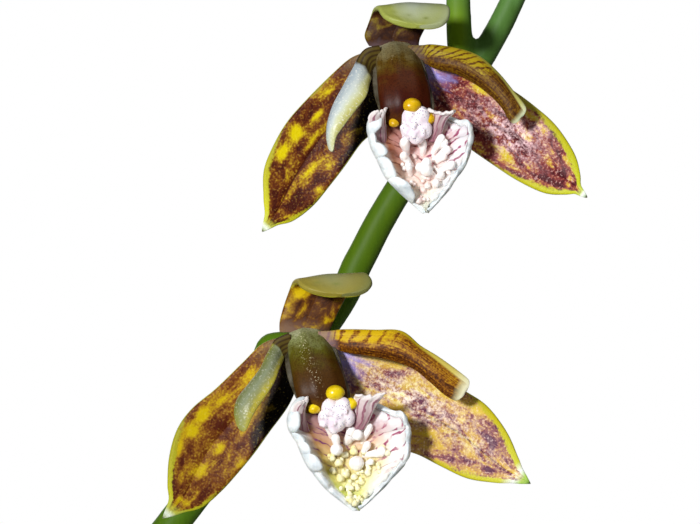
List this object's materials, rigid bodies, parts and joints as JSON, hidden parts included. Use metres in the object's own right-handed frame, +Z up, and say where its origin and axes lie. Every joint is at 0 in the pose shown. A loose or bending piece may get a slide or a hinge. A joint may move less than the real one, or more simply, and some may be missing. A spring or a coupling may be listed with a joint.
{
  "type": "potted prosthechea livida orchid",
  "caption": "Small orchid in a plain clay pot of bark: slim pseudobulbs with strap leaves and a leaning stem of mottled yellow and maroon flowers with white ruffled lips.",
  "frame": {"origin": "middle of the pot's flat base, on the surface that it stands on", "axes": "+Z up, the flowers look towards -Y, the flower stem leans towards +X"},
  "size_m": [0.2178, 0.1613, 0.2736],
  "materials": {
    "terracotta": "unglazed, matt",
    "bark": "rough chips",
    "rhizome": "dry scaly skin",
    "pseudobulb": "smooth living skin, satin",
    "leaf": "smooth living leaf, satin",
    "stalk": "smooth living stem, satin",
    "tepal": "waxy petal, fine sparkle",
    "lip": "waxy petal, white",
    "column": "waxy, olive to maroon",
    "bud": "smooth living skin, satin"
  },
  "bodies": {
    "root": {"pot": "terracotta", "bark": "bark", "rhizome": "rhizome", "pseudobulb_1": "pseudobulb", "pseudobulb_2": "pseudobulb", "pseudobulb_3": "pseudobulb", "pseudobulb_4": "pseudobulb", "pseudobulb_5": "pseudobulb", "pseudobulb_6": "pseudobulb", "leaf_1": "leaf", "leaf_2": "leaf", "leaf_3": "leaf", "leaf_4": "leaf", "leaf_5": "leaf", "leaf_6": "leaf", "leaf_7": "leaf", "leaf_8": "leaf", "leaf_9": "leaf", "leaf_10": "leaf", "flower_stem": "stalk", "upper_dorsal_sepal": "tepal", "upper_sepal_left": "tepal", "upper_sepal_right": "tepal", "upper_petal_left": "tepal", "upper_petal_right": "tepal", "upper_lip": "lip", "upper_column": "column", "lower_dorsal_sepal": "tepal", "lower_sepal_left": "tepal", "lower_sepal_right": "tepal", "lower_petal_left": "tepal", "lower_petal_right": "tepal", "lower_lip": "lip", "lower_column": "column", "top_dorsal_sepal": "tepal", "top_sepal_left": "tepal", "top_sepal_right": "tepal", "top_petal_left": "tepal", "top_petal_right": "tepal", "top_lip": "lip", "top_column": "column", "bud_tip": "bud", "bud_side": "bud"}
  },
  "joints": []
}
